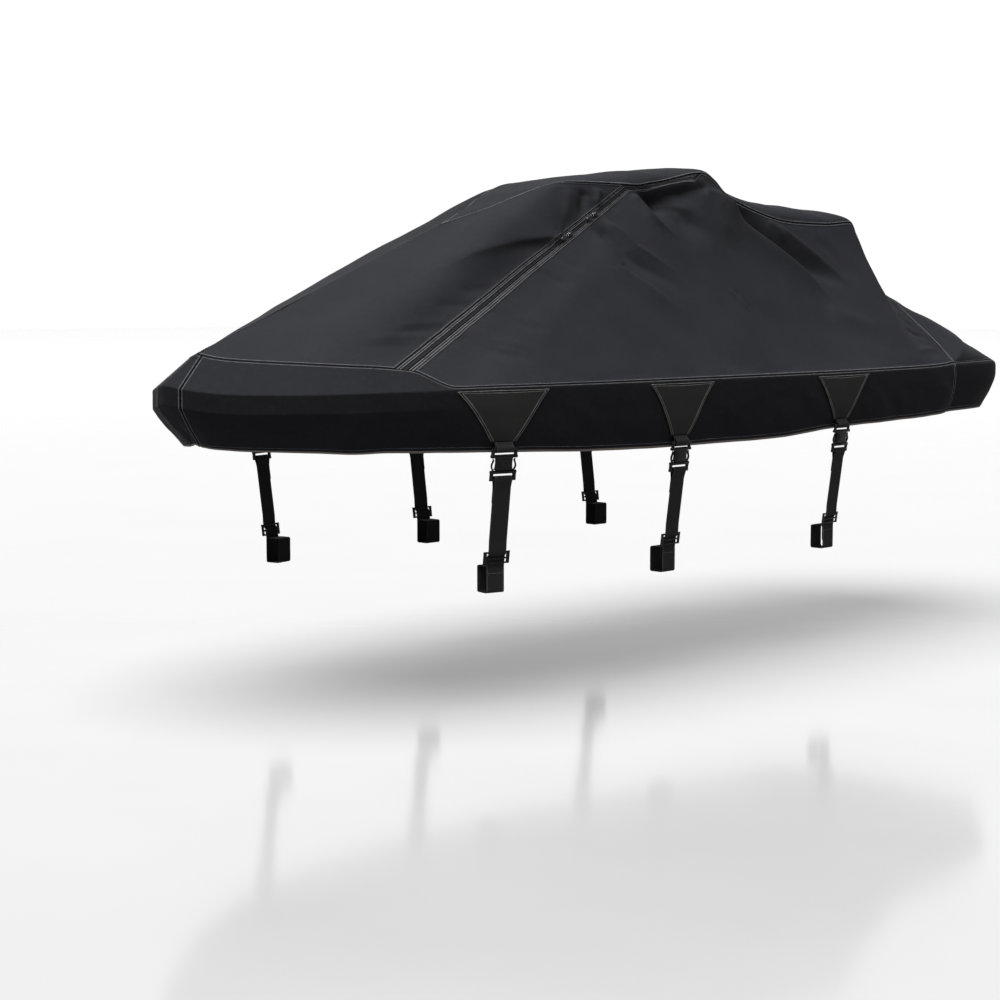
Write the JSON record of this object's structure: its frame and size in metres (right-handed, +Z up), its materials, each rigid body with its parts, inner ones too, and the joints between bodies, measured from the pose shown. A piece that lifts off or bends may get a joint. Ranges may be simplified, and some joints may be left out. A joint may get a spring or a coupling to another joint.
{
  "type": "personal watercraft cover",
  "caption": "Fitted fabric travel cover for a three-seat personal watercraft: peaked hood over a darker gunwale band, side zip, and buckled tie-down straps.",
  "frame": {"origin": "underside of the cloth at the peak, on the centreline, where the covered craft's handlebar mound holds it up", "axes": "-X towards the bow, +X towards the stern, -Y to port, +Y to starboard, +Z up"},
  "size_m": [3.649, 1.2552, 1.321],
  "materials": {
    "hood_cloth": "satin",
    "band_cloth": "satin",
    "webbing": "matte",
    "zip_tape": "matte",
    "buckle_plastic": "gloss",
    "zip_metal": "gloss"
  },
  "bodies": {
    "root": {"anchor_aft_port": "webbing", "anchor_aft_starboard": "webbing", "anchor_fore_port": "webbing", "anchor_fore_starboard": "webbing", "anchor_mid_port": "webbing", "anchor_mid_starboard": "webbing", "band_port": "band_cloth", "band_starboard": "band_cloth", "band_stern": "band_cloth", "bonnet": "hood_cloth", "centre_panel": "hood_cloth", "nose_strip": "band_cloth", "plug_aft_port": "buckle_plastic", "plug_aft_starboard": "buckle_plastic", "plug_fore_port": "buckle_plastic", "plug_fore_starboard": "buckle_plastic", "plug_mid_port": "buckle_plastic", "plug_mid_starboard": "buckle_plastic", "pull_lower": "zip_metal", "pull_upper": "zip_metal", "side_port": "hood_cloth", "side_starboard": "hood_cloth", "slider_lower": "zip_metal", "slider_upper": "zip_metal", "socket_aft_port": "buckle_plastic", "socket_aft_starboard": "buckle_plastic", "socket_fore_port": "buckle_plastic", "socket_fore_starboard": "buckle_plastic", "socket_mid_port": "buckle_plastic", "socket_mid_starboard": "buckle_plastic", "strap_aft_port": "webbing", "strap_aft_starboard": "webbing", "strap_fore_port": "webbing", "strap_fore_starboard": "webbing", "strap_mid_port": "webbing", "strap_mid_starboard": "webbing", "tab_aft_port": "webbing", "tab_aft_starboard": "webbing", "tab_fore_port": "webbing", "tab_fore_starboard": "webbing", "tab_mid_port": "webbing", "tab_mid_starboard": "webbing", "triglide_aft_port": "buckle_plastic", "triglide_aft_starboard": "buckle_plastic", "triglide_fore_port": "buckle_plastic", "triglide_fore_starboard": "buckle_plastic", "triglide_mid_port": "buckle_plastic", "triglide_mid_starboard": "buckle_plastic", "zip_tape": "zip_tape"}
  },
  "joints": []
}
